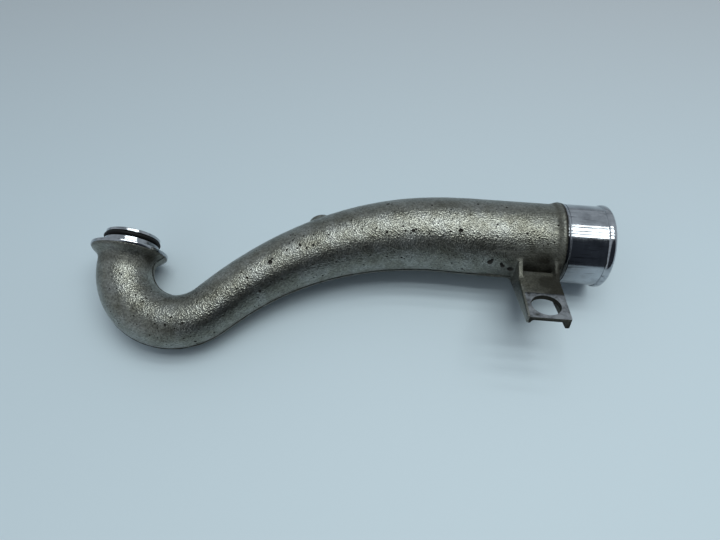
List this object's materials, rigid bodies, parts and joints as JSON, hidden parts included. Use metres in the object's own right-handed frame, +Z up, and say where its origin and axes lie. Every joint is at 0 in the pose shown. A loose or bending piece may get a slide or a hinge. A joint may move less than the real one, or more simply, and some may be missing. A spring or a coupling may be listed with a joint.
{
  "type": "turbo charge air pipe",
  "caption": "Rigid cast aluminium charge air pipe, J-shaped, with an O-ring spigot and clamp flange, a beaded hose spigot and a mounting bracket.",
  "frame": {"origin": "middle of the bounding box in X and Y, on the surface that the pipe rests on", "axes": "+X along the hose spigot, out of its mouth; +Y to the side that the turbocharger spigot points to; +Z up from the resting surface"},
  "size_m": [0.3872, 0.1344, 0.0636],
  "materials": {
    "cast_aluminium": "rough sand-cast grey aluminium, pitted and stained; the two spigots and the flange are turned bright",
    "seal_rubber": "black nitrile rubber, slightly shiny"
  },
  "bodies": {
    "root": {"pipe_casting": "cast_aluminium", "o_ring": "seal_rubber"}
  },
  "joints": []
}
